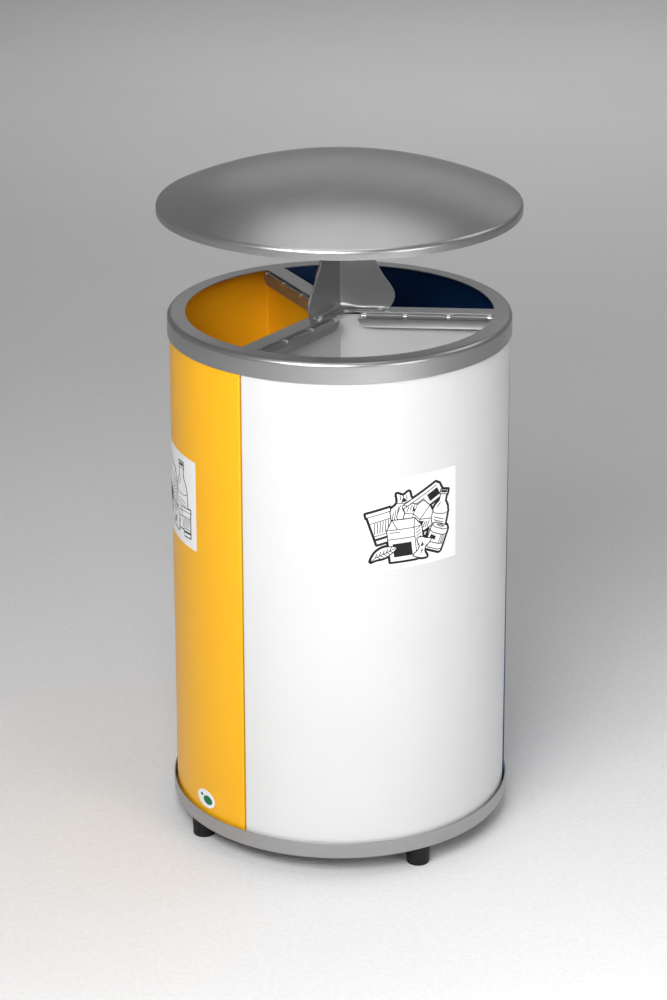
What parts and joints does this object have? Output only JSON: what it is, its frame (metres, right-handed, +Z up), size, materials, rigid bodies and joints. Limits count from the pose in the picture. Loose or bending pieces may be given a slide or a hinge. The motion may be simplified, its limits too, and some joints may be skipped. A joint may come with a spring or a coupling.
{
  "type": "recycling litter bin",
  "caption": "Free-standing round recycling litter bin: coloured sector containers on a tray with rubber feet, under a lift-off head with hinged flaps and a domed rain roof.",
  "frame": {"origin": "on the floor, under the centre of the drum", "axes": "+Z up; +X along the head's bar between the white and the blue container; the yellow container is towards -X, and the picture looks from about -Y"},
  "size_m": [0.532, 0.532, 1.0173],
  "materials": {
    "silver_paint": "satin silver-grey paint with a fine metallic grain",
    "white_paint": "satin white paint",
    "yellow_paint": "satin golden-yellow paint",
    "dark_blue_paint": "satin dark blue paint",
    "black_rubber": "matt",
    "zinc_plated_steel": "bright zinc plating",
    "white_sticker": "white printed film"
  },
  "bodies": {
    "base": {"base_tray": "silver_paint", "rubber_foot_1": "black_rubber", "rubber_foot_2": "black_rubber", "rubber_foot_3": "black_rubber", "rubber_foot_4": "black_rubber", "foot_screw_1": "zinc_plated_steel", "foot_screw_2": "zinc_plated_steel", "foot_screw_3": "zinc_plated_steel", "foot_screw_4": "zinc_plated_steel", "container_white": "white_paint", "floor_pan_white": "white_paint", "container_blue": "dark_blue_paint", "floor_pan_blue": "dark_blue_paint", "container_yellow": "yellow_paint", "floor_pan_yellow": "yellow_paint", "sticker_white": "white_sticker", "sticker_blue": "white_sticker", "sticker_yellow": "white_sticker", "sticker_badge": "white_sticker"},
    "head": {"head_frame": "silver_paint", "roof_dome": "silver_paint", "column_sheet_white": "silver_paint", "column_sheet_blue": "silver_paint", "column_sheet_yellow": "silver_paint", "column_screw_1": "zinc_plated_steel", "column_nut_1": "zinc_plated_steel", "column_screw_2": "zinc_plated_steel", "column_nut_2": "zinc_plated_steel", "column_screw_3": "zinc_plated_steel", "column_nut_3": "zinc_plated_steel", "column_screw_4": "zinc_plated_steel", "column_nut_4": "zinc_plated_steel", "column_screw_5": "zinc_plated_steel", "column_nut_5": "zinc_plated_steel", "column_screw_6": "zinc_plated_steel", "column_nut_6": "zinc_plated_steel", "column_top_plate": "silver_paint", "roof_plate": "silver_paint", "roof_screw_1": "zinc_plated_steel", "roof_screw_2": "zinc_plated_steel", "roof_screw_3": "zinc_plated_steel", "hinge_rod_white_right": "zinc_plated_steel", "hinge_rod_white_front": "zinc_plated_steel", "hinge_rod_blue_right": "zinc_plated_steel", "hinge_rod_blue_rear": "zinc_plated_steel", "hinge_rod_yellow_rear": "zinc_plated_steel", "hinge_rod_yellow_front": "zinc_plated_steel"},
    "flap_white_right": {"flap_white_right": "silver_paint"},
    "flap_white_front": {"flap_white_front": "silver_paint"},
    "flap_blue_right": {"flap_blue_right": "silver_paint"},
    "flap_blue_rear": {"flap_blue_rear": "silver_paint"},
    "flap_yellow_rear": {"flap_yellow_rear": "silver_paint"},
    "flap_yellow_front": {"flap_yellow_front": "silver_paint"}
  },
  "joints": [
    {"name": "head_lift", "type": "slide", "parent": "base", "child": "head", "axis": [0, 0, 1], "range_m": [0, 0.25]},
    {"name": "flap_white_right_swing", "type": "hinge", "parent": "head", "child": "flap_white_right", "pos_m": [0.12825, -0.016, 0.7885], "axis": [-1, 0, 0], "range_deg": [-45, 80]},
    {"name": "flap_white_front_swing", "type": "hinge", "parent": "head", "child": "flap_white_front", "pos_m": [-0.05027, -0.11907, 0.7885], "axis": [-0.5, -0.866, 0], "range_deg": [-45, 80]},
    {"name": "flap_blue_right_swing", "type": "hinge", "parent": "head", "child": "flap_blue_right", "pos_m": [0.12825, 0.016, 0.7885], "axis": [1, 0, 0], "range_deg": [-45, 80]},
    {"name": "flap_blue_rear_swing", "type": "hinge", "parent": "head", "child": "flap_blue_rear", "pos_m": [-0.05027, 0.11907, 0.7885], "axis": [0.5, -0.866, 0], "range_deg": [-45, 80]},
    {"name": "flap_yellow_rear_swing", "type": "hinge", "parent": "head", "child": "flap_yellow_rear", "pos_m": [-0.07798, 0.10307, 0.7885], "axis": [-0.5, 0.866, 0], "range_deg": [-45, 80]},
    {"name": "flap_yellow_front_swing", "type": "hinge", "parent": "head", "child": "flap_yellow_front", "pos_m": [-0.07798, -0.10307, 0.7885], "axis": [0.5, 0.866, 0], "range_deg": [-45, 80]}
  ]
}
